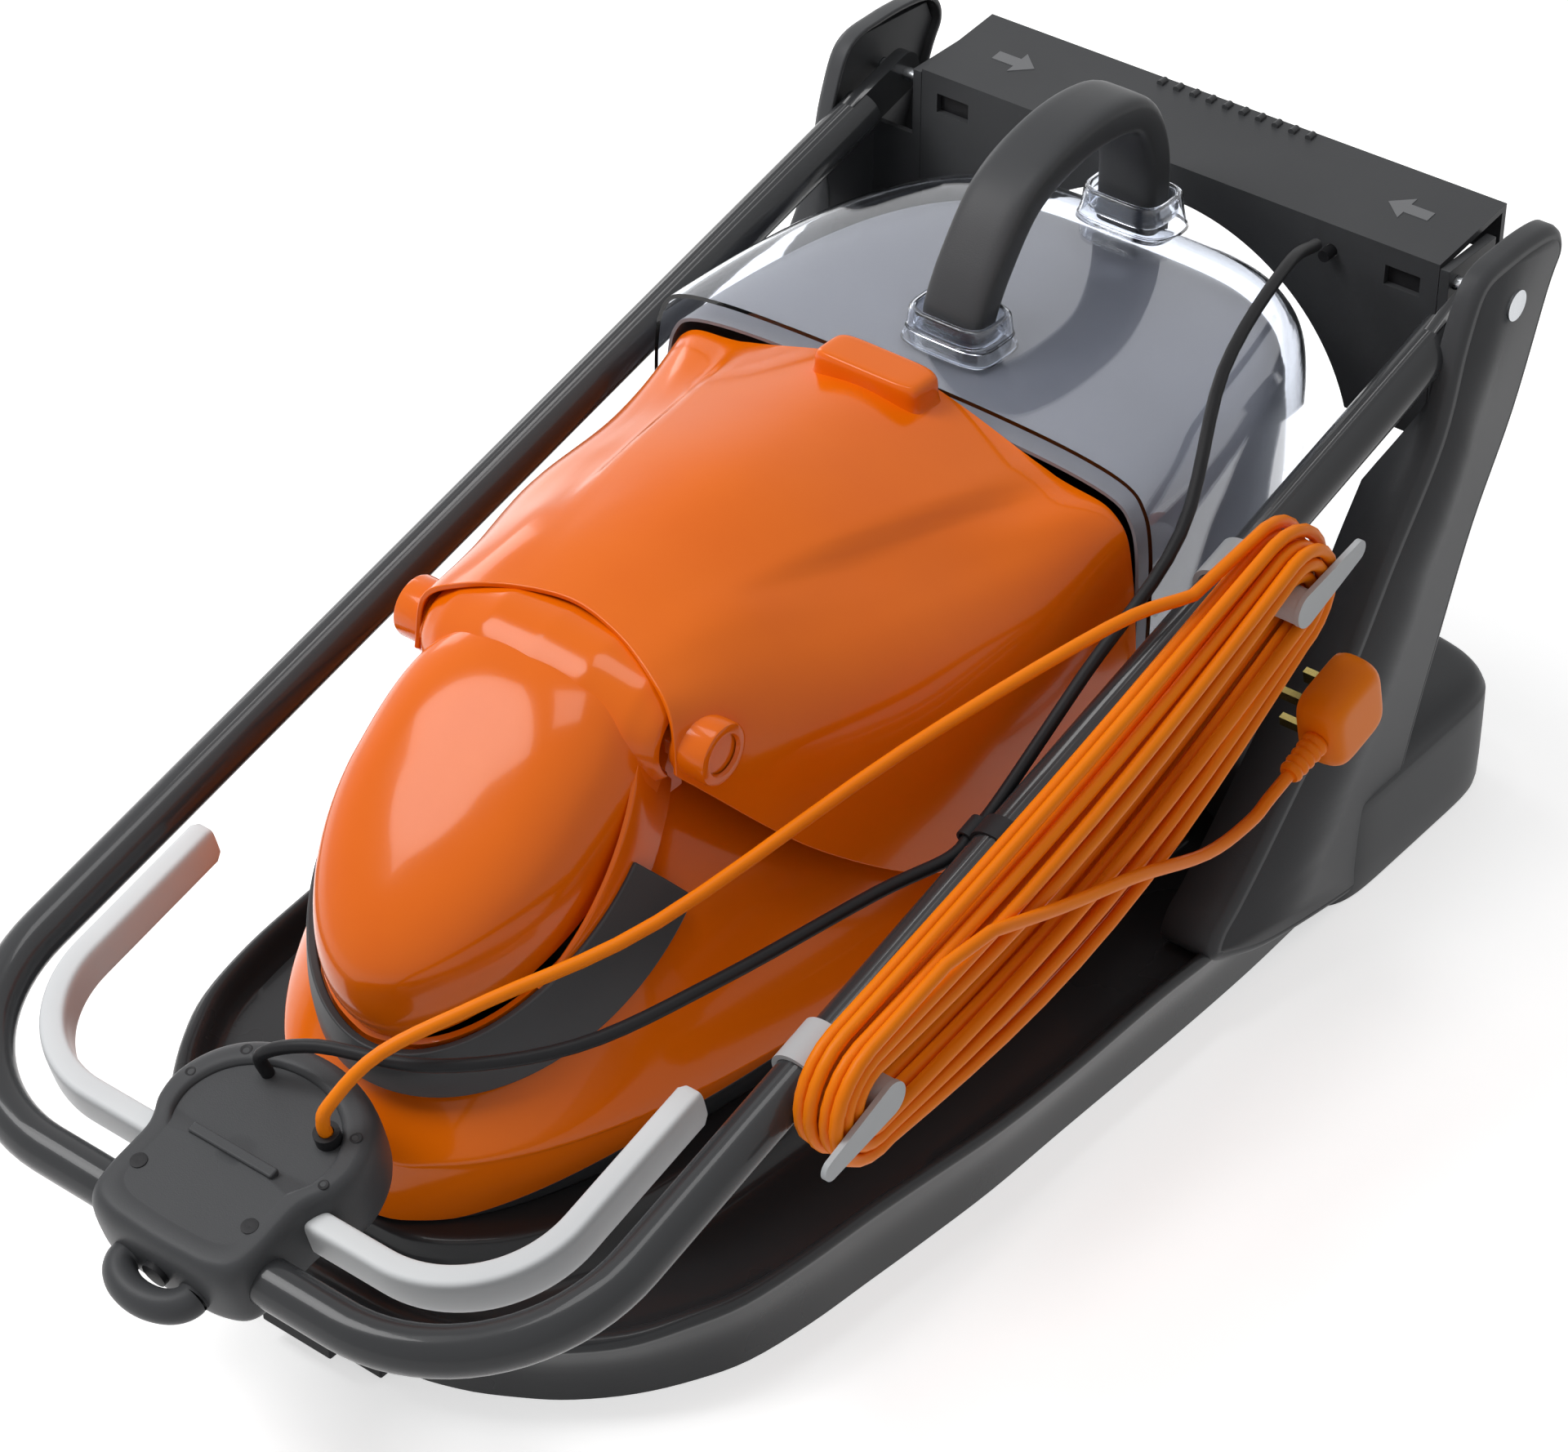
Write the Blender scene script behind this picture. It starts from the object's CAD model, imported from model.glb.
"""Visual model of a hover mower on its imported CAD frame, as a Blender add-on."""
import math

import bmesh
import bpy
import numpy as np
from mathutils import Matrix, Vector


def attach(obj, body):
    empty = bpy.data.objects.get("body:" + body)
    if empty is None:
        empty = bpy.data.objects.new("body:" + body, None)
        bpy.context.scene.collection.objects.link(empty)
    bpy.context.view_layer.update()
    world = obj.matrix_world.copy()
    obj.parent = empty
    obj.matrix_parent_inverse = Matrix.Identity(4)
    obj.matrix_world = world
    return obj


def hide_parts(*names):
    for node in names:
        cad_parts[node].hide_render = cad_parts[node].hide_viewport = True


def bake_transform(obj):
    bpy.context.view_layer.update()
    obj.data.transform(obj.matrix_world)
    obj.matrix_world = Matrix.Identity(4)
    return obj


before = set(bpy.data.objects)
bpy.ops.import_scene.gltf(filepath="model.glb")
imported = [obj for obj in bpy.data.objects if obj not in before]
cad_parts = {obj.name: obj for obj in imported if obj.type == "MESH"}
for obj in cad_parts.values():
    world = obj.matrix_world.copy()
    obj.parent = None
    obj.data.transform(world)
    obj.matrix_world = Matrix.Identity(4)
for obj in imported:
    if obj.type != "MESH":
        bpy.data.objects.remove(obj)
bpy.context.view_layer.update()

bl_info = {
    "name": "Hover mower",
    "version": (1, 0, 0),
    "blender": (4, 5, 0),
    "location": "View3D > Sidebar > Mower",
    "description": "Builds the visual pieces of a hover mower on its CAD frame",
    "category": "Object",
}

# Lengths in this file are millimetres, except those of the camera and the lamps
# A point named INSIDE lies behind a shell, so that the faces of the shell can look away from it
MM = 0.001
MIRROR = np.array([-1, 1, 1])

# Camera of the photograph, in metres
CAMERA_LENS, CAMERA_SENSOR = 102.94, 36.0
CAMERA_PLACE, CAMERA_AIM = (1.1693, -1.4535, 1.5874), (0.0, 0.020, 0.162)

# Lamps: place in metres and size, all aimed at the middle of the mower
LAMPS = {"key_lamp": ((-1.3, -1.0, 2.1), 1.1), "top_lamp": ((-0.3, -0.2, 2.6), 0.8),
         "side_lamp": ((-2.2, 0.9, 1.0), 0.8)}
LAMP_AIM = (0, 0, 0.15)
FLOOR_SIZE = 8

# Finishes: depth of the grain's bump, roughness of coats and of the clear mouldings, and ends of the tones
GRAIN_DEPTH, COAT_ROUGHNESS, CLEAR_ROUGHNESS, TONE_ENDS = 0.4, 0.05, (0.01, 0.06), (0.3, 0.7)
# Cleaning of copied CAD nodes: weld distance in metres, and the angle in degrees under which faces are one
WELD, FLAT_ANGLE = 2e-6, 0.4

# Handle plane: pivot of the folding handle and its slope at rest
PIVOT_Y, PIVOT_Z = 371.0, 334.0
SLOPE = math.radians(14.5)

# Hank of the mains cord, in the handle plane
HOOK_UPPER, HOOK_LOWER = 236.0, 590.0
HANK_PITCH, HANK_TURNS, HANK_LAYERS = 7.6, 3, 4
HANK_OUTER, HANK_INNER = 37.0, 14.2
HANK_FIRST_X, HANK_SAG = 209.7, 22.0
HANK_END_TURN = 11 + 19 / 24
HANK_STEPS = 48
# Sag of the lower and upper runs: share of the innermost turn, and how it fans out to the outer ones
LOW_SAG_SHARE, LOW_FAN_SHARE, HIGH_SAG_SHARE, HIGH_FAN_SHARE = 0.5, 0.9, 0.8, 0.7
# How that grows from the first layer with each further one
LOW_FIRST_SHARE, LOW_LAYER_SHARE, HIGH_FIRST_SHARE, HIGH_LAYER_SHARE = 0.7, 0.2, 0.6, 0.25

# Cord routes in the handle plane, and of the last run of the motor lead in the frame
CORD_WIDTH = 7.0
LEAD_IN = [(34, 756, 18), (34, 756, 25), (34, 756, 32), (36, 750, 42), (50, 722, 60), (80, 676, 68),
           (116, 596, 62), (152, 450, 58), (188, 330, 50), (205.7, 284, 39)]
TAIL_START = (6.5, -28, -1)
TAIL = [(241.4, 455, 0), (243.4, 400, -34), (242.4, 345, -76), (241.4, 306, -92), (241.4, 286, -92),
        (241.4, 248, -92)]
MOTOR_LEAD = [(-18, 742, 18), (-18, 741, 34), (10, 728, 44), (66, 708, 44), (112, 660, 36), (140, 590, 26),
              (164, 500, 10), (176.2, 458, 0), (176.2, 438, 0), (176.2, 418, 0), (176, 340, 18),
              (176, 252, 38), (142, 160, 56), (120, 70, 44), (108, 26, 18)]
REAR_LEAD = [(105, 355, 330), (105, 361, 330), (105, 367, 330), (105, 373, 330), (110, 380, 321),
             (123, 383, 304), (151, 383, 274), (185, 381, 238), (199, 379, 214)]

# Plug: place in the handle plane, half size, and rings of its size share and depth
PLUG_PLACE = (241.4, 220, -92)
PLUG_HALF, PLUG_SQUARE = 24, 0.42
PLUG_RINGS = [(.02, -13), (.84, -13), (.95, -11.4), (1, -7), (1, 0), (.965, 6), (.88, 10.4), (.74, 12.6),
              (.5, 13), (.02, 13)]
RELIEF_LENGTH, RELIEF_RADIUS, RELIEF_TAPER, RELIEF_RIB, RELIEF_RIBS = 26, 6.6, 1.4, 1.1, 5

# Deck: outline shares of half width and length, from the front to the rear
DECK_MIDDLE = 40
DECK_SHARES = [(.18, -.992), (.34, -.971), (.47, -.932), (.565, -.893), (.66, -.836), (.735, -.77),
               (.79, -.7), (.825, -.6), (.845, -.495), (.865, -.385), (.885, -.25), (.893, -.1),
               (.905, .08), (.912, .2), (.915, .33), (.91, .46), (.905, .58), (.9, .68), (.88, .76),
               (.8, .83), (.45, .86)]
# Deck rings: outline share, height and share of the lobe rise, from the ground over the lip to the valley
DECK_RINGS = [(1, 0, 0), (1.012, 26, .3), (1.034, 42, .9), (1.04, 46.5, 1), (1.03, 50, 1), (1.015, 50, 1),
              (1, 46.5, 1), (.985, 41.5, .5), (.97, 40, 0)]
# Side wave: height share, turn and lag in degrees, and where it starts and ends; then the rear lobe
WAVE_SHARE, WAVE_TURN, WAVE_LAG, WAVE_START_SHARE, WAVE_END_SHARE = 0.16, 400, 60, -0.8, 0.15
LOBE_SLOPE, LOBE_START_SHARE = 4, 0.62
# Crown and lining rings: width share, length share and height, from the valley up, and back inside
CROWN_RINGS = [(.97, .97, 40), (.85, .969, 40), (.72, .967, 40.4), (.672, .962, 44), (.64, .954, 54),
               (.616, .947, 63), (.59, .93, 66.4), (.5, .8, 68)]
LINING_RINGS = [(.5, .8, 65), (.6, .93, 65), (.67, .95, 37), (.972, .972, 37), (.985, .985, 0)]
SHAFT_Y, SHAFT_HOLE, CROWN_TOP, CROWN_WALL = -130, 13.4, 68.0, 3

# Rear block between the arms: rings of size share and height
APRON_Y, APRON_SQUARE = 322, (0.22, 0.3)
APRON_RINGS = [(.985, 2), (1, 6), (1, 58), (.995, 66), (.978, 72), (.945, 75.5), (.85, 77), (.5, 78),
               (.02, 78)]
FOOT_EDGE = 1.2

# Lower hood: shares of half width, front reach and height, then of the rim round the motor cover
HOOD_SEAT, HOOD_REAR, HOOD_NOSE_SHIFT, HOOD_REAR_SHARE = 68.4, 112, 40, 0.96
HOOD_RINGS = [(.62, .955, 0), (.67, .96, .2), (.76, .962, .5), (.84, .955, .8), (.87, .94, 1)]
HUMP_RINGS = [(1.14, .97, -.5), (1.12, 1, -.25), (1.06, 1.02, 0)]
HOOD_STEPS, HOOD_INSIDE = 8, (0, -130, 100)
# Hood outline: first angle beside the nose, last angle at the side, powers, and height share at the nose
RING_START, HOOD_TURN, HOOD_SQUARE, HOOD_NOSE_SHARE = 5, 90, (0.8, 0.9), 0.5
# Grey shroud under the orange: its share of the hood, and where it starts and is full from nose to rear
SHROUD_SHARE, SHROUD_LEAST_SHARE, SHROUD_START_SHARE, SHROUD_RISE_SHARE = 0.5, 0.004, 0.2, 0.35

# Motor cover: tilt and centre of its plane, and rings of width, length and height shares
COVER_TILT, COVER_Y, COVER_Z = math.radians(37), -212.5, 235
COVER_RINGS = [(1, 1, 0), (.99, .985, .25), (.94, .93, .5), (.83, .82, .74), (.62, .61, .91),
               (.32, .32, .985), (.02, .02, 1)]
COVER_LIFT, COVER_BLUNT, COVER_TAPER_SHARE = 0.4, 0.74, 0.1
# Rim behind the cover: width share, length share, height and share of its lift; turns are in degrees
RIM_RINGS = [(1.13, 1.0, -14, 0), (1.11, 1.04, -4, .55), (1.09, 1.055, 0, .95), (1.07, 1.05, 1, 1),
             (1.05, 1.035, 0, .96), (1.045, 1.03, -6, 0)]
RIM_LIFT, RIM_START_SHARE, RIM_TURN = 22, 0.45, (62, 298)
# Grey collar: width, length and height shares, the height share at the nose, and its edge
COLLAR_RINGS = [(1.34, 1.2, -.67), (1.25, 1.15, -.32), (1.135, 1.07, .04)]
COLLAR_NOSE_SHARE, COLLAR_EDGE, COLLAR_TURN = 0.45, 1.2, (-100, 100)

# Lid hinge, and the barrel between cover and lid: its half width, and radii along it from the middle
HINGE_Y, HINGE_Z = -150, 292
NECK_HALF, NECK_WALL, NECK_TURN, PIN_EDGE = 76, 2.5, (35, 225), 0.8
NECK_PLACES, NECK_RADII = [0, 32, 60, 72, 76], [39.4, 38, 31.5, 25, 21]
LUG_RADIUS, LUG_INNER, LUG_OUTER, LUG_EDGE = 16, 77, 93.6, 1.5
LUG_HEEL = [(-131, 288), (-133, 298), (-141, 305)]
BOSS_RINGS = [(15, 78), (16.6, 79), (16.6, 97), (16, 98.6), (14.6, 99.2), (11.4, 99), (10.6, 98),
              (10.4, 97.4)]
BOSS_MIDDLE = 88

# Lid net: shares of half width, length and height, row by row from the neck to the rear edge
LID_FRONT, LID_BASE, LID_INSIDE = -138, 172, (0, 0, 200)
LID_NET = [[(.53, -.12, .66), (.5, -.11, .85), (.38, -.08, .92), (.2, -.04, .955), (0, -.02, .97)],
           [(.78, .13, .27), (.66, .12, .72), (.46, .15, .92), (.24, .16, .985), (0, .17, 1.01)],
           [(.95, .42, 0), (.86, .42, .6), (.62, .43, .85), (.36, .44, .98), (0, .44, 1.05)],
           [(1, .72, -.04), (.93, .72, .56), (.7, .72, .82), (.48, .72, .93), (0, .72, 1.03)],
           [(1.02, 1, -.03), (.97, 1, .58), (.885, 1, .8), (.61, 1, .86), (0, 1, 1)]]
# Crease along the lid's shoulders: front, length, half width at the front and its gain, and its own section
CREASE_FRONT, CREASE_LENGTH, CREASE_HALF, CREASE_GAIN = -90, 203, 52, 44
CREASE_DEPTH, CREASE_STEP, CREASE_FLAT, CREASE_FADE = 6.5, 9, 14, 34
CREASE_RISE, CREASE_FALL, CREASE_END_SHARE = 3, 5, 1.02
TAB_PLACE, TAB_HALF, TAB_DEPTH, TAB_SQUARE = (0, 96, 337), 34, 13, (0.35, 0.35)
TAB_RINGS = [(1.06, -4), (1, 3), (.985, 10), (.93, 13.4), (.8, 14.8), (.4, 15), (.02, 15)]

# Clear dome: rings of width, depth and height shares, and the shares of the liner behind it
DOME_FRONT, DOME_BASE, DOME_SQUARE = 113.4, 204, (0.5, 0.8)
DOME_RINGS = [(1, 1, 0), (1, 1, .45), (.99, .99, .7), (.96, .965, .84), (.89, .91, .925), (.7, .77, .972),
              (.4, .5, .994), (.05, .1, 1), (.001, .002, 1)]
LINER_SHARE, LINER_RISE_SHARE = 0.95, 0.9
LINER_WALL, CLEAR_EDGE, DOME_INSIDE = 2, 0.5, (0, 200, 230)

# Carry handle: feet, and shares of span and rise along its arch; clear sockets round the feet
GRIP_FRONT, GRIP_REAR, GRIP_BASE = 168, 326, 337.6
GRIP_SHARES = [(0, 0), (0, .12), (.08, .42), (.24, .8), (.46, .97), (.7, 1), (.89, .88), (.985, .5),
               (1, .04), (1, -.15)]
SOCKET_HALF, SOCKET_DEPTH, SOCKET_BASE, SOCKET_SQUARE = 27, 19, 333, (0.5, 0.5)
SOCKET_RINGS = [(1.1, -6), (1, 4), (.96, 13), (.9, 15), (.82, 14), (.8, 2)]
SOCKET_WALL, GRIP_EDGE, GRIP_SQUARE = 1.5, 0.8, 0.45

# Side arm, in Y and Z: front edge upward, round the top and down the rear edge to the ground
ARM_OUTLINE = [(118, 47), (121, 63), (138, 77), (170, 108), (226, 167), (265, 225), (304, 281), (319, 333),
               (335, 363), (366, 368), (400, 366), (416, 359), (421, 344), (411, 324), (387, 260),
               (356, 202), (332, 140), (314, 90), (302, 50), (294, 8), (270, 3), (240, 6), (176, 20),
               (140, 34)]
BIN_EDGE, ARM_EDGE = 0.8, 1.5
# Arm face: its side, and the step inward along the outline with the fall from that side
FIN_SIDE, FIN_WALL_SIDE, FIN_INSIDE = 214.6, 204.5, (150, 230, 180)
FIN_RINGS = [(7, 0), (3.6, .7), (1.3, 2.4), (0, 5.4), (0, 12)]
FIN_DEPTH, FIN_SHALLOW_SHARE, FIN_TOP, FIN_FADE = 24, 0.12, 304, 50

# Crossbar: dark backs of its two slots, and the plain arrows on its sloping top
SLOT_INNER, SLOT_OUTER, SLOT_LOW, SLOT_HIGH, SLOT_FRONT, SLOT_BACK = 136, 164, 319, 337, 367.3, 368.8
ARROW = [(-13, -4), (2, -4), (2, -10), (14, 0), (2, 10), (2, 4), (-13, 4)]
ARROW_X, ARROW_Y, ARROW_LEVELS = 132, 397, (-0.4, 0.35)
BAR_FRONT, BAR_HEIGHT, BAR_RISE, BAR_DEPTH = 363, 346, 7, 67

# Switch box, in X and S of the handle plane: from the rear centre round the right side to the front centre
BOX_OUTLINE = [(0, 718), (22, 721), (41, 730), (54, 744), (60.5, 762), (59, 778), (53, 790), (51, 800),
               (51, 826), (47, 840), (34, 846), (16, 847.5), (0, 848)]
BOX_CENTRE, BOX_STEP_START, BOX_STEP_LENGTH = 784.0, 780, 14
# Box rings: outline share, height, and dip of the recessed rear face
BOX_RINGS = [(.02, -21, 0), (.8, -22, 0), (.93, -20, 0), (.985, -15, 0), (1, -8, 0), (1, 6, 0),
             (.985, 14, 0), (.955, 19, 0), (.91, 21.6, 0), (.86, 22.3, 0), (.8, 22.4, 0),
             (.765, 22.2, .7), (.745, 22, 2.4), (.7, 22, 2.6), (.3, 22, 2.6), (.02, 22, 2.6)]
BOX_LUG_PLACE, BOX_LUG_HALF, BOX_LUG_DEPTH, BOX_LUG_RADIUS = (0, 849, -4.0), 22, 13, 8.5
SEAM_CLIP = [(-27, 783), (27, 783), (27, 789), (-27, 789)]
SEAM_CLIP_LEVELS, SEAM_CLIP_EDGE = (20, 24), 1.2
# Wells in the box: X, S, height and radius
WELLS = [(-36, 814, 22.7, 4.4), (36, 814, 22.7, 4.4), (-35, 738, 22.6, 3.2), (-50, 762, 22.6, 2.8),
         (46.4, 749.6, 22.6, 3.2), (50.7, 778, 22.6, 2.8)]
WELL_RINGS = [(1, -1.2), (1, -0.2), (.86, 0), (.02, -0.6)]

# Levers: bend centre and radius in the handle plane, start in the box and the straight part to the tip
LEVER_BEND, LEVER_RADIUS = (95, 726), 64
LEVER_START = [(46, 790), (70, 790)]
LEVER_END = [(159, 700), (159, 660), (159, 642), (159, 638)]
LEVER_TIP_SHARE, LEVER_SQUARE = 0.8, 0.4

# Edges of the hooks and the lead clip
HOOK_EDGE, LEAD_CLIP_EDGE = 1.0, 0.5


def linear(code):
    """sRGB hex colour as linear red, green, blue and alpha."""
    parts = [int(code[i:i + 2], 16) / 255 for i in (1, 3, 5)]
    return [c / 12.92 if c <= 0.04045 else ((c + 0.055) / 1.055) ** 2.4 for c in parts] + [1.0]


def length(name, description, millimetres):
    """Property for a size, written in millimetres and shown in Blender's own unit."""
    return bpy.props.FloatProperty(name=name, description=description, default=millimetres * MM, min=0.0,
                                   precision=4, unit="LENGTH")


def colour(name, description, code):
    """Property for a colour, written as an sRGB hex value."""
    return bpy.props.FloatVectorProperty(name=name, description=description, default=linear(code), size=4,
                                         min=0.0, max=1.0, subtype="COLOR")


def watts(name, description, power_w):
    """Property for the power of a lamp."""
    return bpy.props.FloatProperty(name=name, description=description, default=power_w, min=0.0,
                                   unit="POWER")


def level(name, description, share):
    """Property for a strength, where 1 is white."""
    return bpy.props.FloatProperty(name=name, description=description, default=share, min=0.0, max=1.0,
                                   subtype="FACTOR")


class MowerSizes(bpy.types.PropertyGroup):
    """Main sizes of the visual pieces"""
    deck_half: length("Deck half width", "From the middle to the side of the hover deck", 223.08)
    deck_front: length("Deck front", "From the deck's middle to its nose", 385)
    deck_rear: length("Deck rear", "From the deck's middle to its tail, before it is cut short", 403.85)
    lobe_rise: length("Lobe rise", "Height of the waves along the deck's lip", 24)
    apron_half: length("Rear block half width", "From the middle to the side of the rear block", 216)
    apron_depth: length("Rear block half depth", "Half the depth of the rear block", 95)
    hood_half: length("Hood half width", "Half width that the hood's rings are shares of", 172)
    hood_front: length("Hood front", "Reach of the hood towards the nose", 292)
    hood_height: length("Hood height", "From the hood's seat to its upper edge", 91.6)
    cover_half: length("Cover half width", "Half width of the motor cover", 74)
    cover_length: length("Cover half length", "Half length of the motor cover", 110)
    cover_height: length("Cover height", "Height of the motor cover above its plane", 56)
    lid_half: length("Lid half width", "Half width that the lid's net is a share of", 158)
    lid_length: length("Lid length", "From the neck to the lid's rear edge", 251)
    lid_height: length("Lid height", "From the lid's lower edge to its crown", 168)
    dome_half: length("Dome half width", "Half width of the clear dome", 164)
    dome_depth: length("Dome depth", "From the lid to the rear of the clear dome", 238.6)
    dome_rise: length("Dome rise", "Height of the clear dome", 133)
    grip_half: length("Grip half width", "Half width of the carry handle", 19)
    grip_thick: length("Grip half thickness", "Half thickness of the carry handle", 11)
    grip_rise: length("Grip rise", "Height of the carry handle's arch", 76)
    lever_half: length("Lever half width", "Half width of a lever", 7)
    lever_tall: length("Lever half height", "Half height of a lever", 12)
    shell_wall: length("Shell wall", "Wall of the orange shells", 3)
    shell_edge: length("Shell edge", "Rounding of the shells' edges", 0.8)
    clear_wall: length("Clear wall", "Wall of the clear dome", 2.5)
    collar_wall: length("Collar wall", "Wall of the grey collar", 5)
    fin_wall: length("Arm wall", "Wall of the side arms' faces", 2.5)


class MowerColours(bpy.types.PropertyGroup):
    """Darker and lighter tone of each finish"""
    orange_abs_dark: colour("Orange shells, dark", "Darker tone of the orange shells", "#E86802")
    orange_abs_light: colour("Orange shells, light", "Lighter tone of the orange shells", "#EE7004")
    grey_abs_dark: colour("Grey mouldings, dark", "Darker tone of the grey mouldings", "#424345")
    grey_abs_light: colour("Grey mouldings, light", "Lighter tone of the grey mouldings", "#48494B")
    deck_polypropylene_dark: colour("Deck, dark", "Darker tone of the hover deck", "#303133")
    deck_polypropylene_light: colour("Deck, light", "Lighter tone of the hover deck", "#363739")
    painted_steel_tube_dark: colour("Tube, dark", "Darker tone of the handle tube", "#343537")
    painted_steel_tube_light: colour("Tube, light", "Lighter tone of the handle tube", "#3A3B3D")
    liner_grey_dark: colour("Liner, dark", "Darker tone of the liner in the dome", "#7A7B81")
    liner_grey_light: colour("Liner, light", "Lighter tone of the liner in the dome", "#85868C")
    pale_abs_dark: colour("Levers, dark", "Darker tone of the levers", "#DADCDE")
    pale_abs_light: colour("Levers, light", "Lighter tone of the levers", "#E3E5E6")
    hook_abs_dark: colour("Hooks, dark", "Darker tone of the cable hooks", "#B4B7BA")
    hook_abs_light: colour("Hooks, light", "Lighter tone of the cable hooks", "#BEC1C3")
    orange_pvc_dark: colour("Mains cord, dark", "Darker tone of the mains cord and plug", "#F47C04")
    orange_pvc_light: colour("Mains cord, light", "Lighter tone of the mains cord and plug", "#FA8608")
    black_pvc_dark: colour("Motor lead, dark", "Darker tone of the motor lead", "#1C1C1E")
    black_pvc_light: colour("Motor lead, light", "Lighter tone of the motor lead", "#242426")
    black_abs_dark: colour("Black mouldings, dark", "Darker tone of the small black mouldings", "#232325")
    black_abs_light: colour("Black mouldings, light", "Lighter tone of the small black mouldings", "#2B2B2D")
    bright_steel_dark: colour("Steel, dark", "Darker tone of bolts, blade and shaft", "#B9BCC0")
    bright_steel_light: colour("Steel, light", "Lighter tone of bolts, blade and shaft", "#CDD0D3")
    plated_brass_dark: colour("Plug pins, dark", "Darker tone of the plug's pins", "#C9B46C")
    plated_brass_light: colour("Plug pins, light", "Lighter tone of the plug's pins", "#D8C684")
    arrow_print_dark: colour("Arrows, dark", "Darker tone of the crossbar arrows", "#77787A")
    arrow_print_light: colour("Arrows, light", "Lighter tone of the crossbar arrows", "#7E7F81")
    clear_tint: colour("Dome tint", "Tint of the clear dome", "#F1F4FA")
    pale_floor_dark: colour("Floor, dark", "Darker tone of the floor", "#F6F6F6")
    pale_floor_light: colour("Floor, light", "Lighter tone of the floor", "#F8F8F8")


class MowerStudio(bpy.types.PropertyGroup):
    """Light of the stage"""
    key_lamp: watts("Key lamp", "Power of the large lamp at the left front", 31)
    top_lamp: watts("Top lamp", "Power of the lamp overhead", 10)
    side_lamp: watts("Side lamp", "Power of the lamp at the left rear", 7)
    surround: level("Surround", "Light that the surround gives the mower", 0.36)
    surround_seen: level("Seen surround", "What camera and gloss see of it beyond its light", 0.64)
    floor_seen: level("Seen floor", "What camera and gloss see of it beyond its lit colour", 0.58)


def size(name):
    """A size of the settings, in millimetres."""
    return getattr(bpy.context.scene.mower_sizes, name) / MM


def spline(points, steps, closed=False):
    """Catmull-Rom line through rows of points: 2p = 2b + (c-a)t + (2a-5b+4c-d)t^2 + (3b-a-3c+d)t^3."""
    p = np.asarray(points, float)
    if closed:
        a, b, c, d = np.roll(p, 1, 0), p, np.roll(p, -1, 0), np.roll(p, -2, 0)
    else:
        line = np.concatenate([2 * p[:1] - p[1:2], p, 2 * p[-1:] - p[-2:-1]])
        a, b, c, d = line[:-3], line[1:-2], line[2:-1], line[3:]
    parts = []
    for k in range(steps):
        t = k / steps
        parts.append(0.5 * (2 * b + (c - a) * t + (2 * a - 5 * b + 4 * c - d) * t ** 2
                            + (3 * b - a - 3 * c + d) * t ** 3))
    out = np.stack(parts, 1).reshape((-1,) + p.shape[1:])
    return out if closed else np.concatenate([out, p[-1:]])


def folded(points):
    """Handle plane (x, s, t) to the frame: y = pivot - s cos - t sin, z = pivot - s sin + t cos."""
    p = np.asarray(points, float)
    y = PIVOT_Y - p[..., 1] * math.cos(SLOPE) - p[..., 2] * math.sin(SLOPE)
    z = PIVOT_Z - p[..., 1] * math.sin(SLOPE) + p[..., 2] * math.cos(SLOPE)
    return np.stack([p[..., 0], y, z], -1)


def cover_place(points):
    """Motor cover plane to the frame: turned about X by its tilt, then moved to its centre."""
    p = np.asarray(points, float)
    c, s = math.cos(COVER_TILT), math.sin(COVER_TILT)
    y = COVER_Y + p[..., 1] * c - p[..., 2] * s
    return np.stack([p[..., 0], y, COVER_Z + p[..., 1] * s + p[..., 2] * c], -1)


def power(values, exponent):
    """Signed power sign(v) |v|^n, for squared-off ovals."""
    return np.sign(values) * np.abs(values) ** exponent


def smooth(values):
    """Smooth step v^2 (3 - 2v) of values held between 0 and 1."""
    v = np.clip(values, 0, 1)
    return v ** 2 * (3 - 2 * v)


def circle(count):
    """Angles of that many even steps round a circle."""
    return np.linspace(0, 2 * math.pi, count, endpoint=False)


def directions(path):
    """Unit direction of a path at each of its points."""
    run = np.gradient(path, axis=0)
    return run / np.linalg.norm(run, axis=1)[:, None]


def oval_rings(rings, half, depth, square, count):
    """Squared ovals, one for each share s and height h: (half s cos^n, depth s sin^m, h), powers signed."""
    a = circle(count)
    share, height = np.asarray(rings, float).T
    u = half * share[:, None] * power(np.cos(a), square[0])
    v = depth * share[:, None] * power(np.sin(a), square[1])
    return np.stack([u, v, np.broadcast_to(height[:, None], u.shape)], -1)


def bar_grid(path, side, up, half, thick, square, count):
    """Squared bar along a path: p + half cos^n side + thick sin^n up, powers signed."""
    a = circle(count)
    wide = (half * power(np.cos(a), square))[None, :, None] * side[:, None, :]
    tall = (thick * power(np.sin(a), square))[None, :, None] * up[:, None, :]
    return path[:, None, :] + wide + tall


def tube_grid(path, radius, sides):
    """Rings of a round tube along a path; radius may be one number or one for each point."""
    p = np.asarray(path, float)
    run = directions(p)
    side = np.cross(run[0], [0.3, 0.2, 0.9])
    rings = []
    angles = np.arange(sides) * 2 * math.pi / sides
    widths = np.broadcast_to(np.asarray(radius, float), (len(p),))
    for point, along, width in zip(p, run, widths):
        side = side - along * np.dot(side, along)
        side /= np.linalg.norm(side)
        up = np.cross(along, side)
        rings.append(point + width * (np.cos(angles)[:, None] * side + np.sin(angles)[:, None] * up))
    return np.array(rings)


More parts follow.
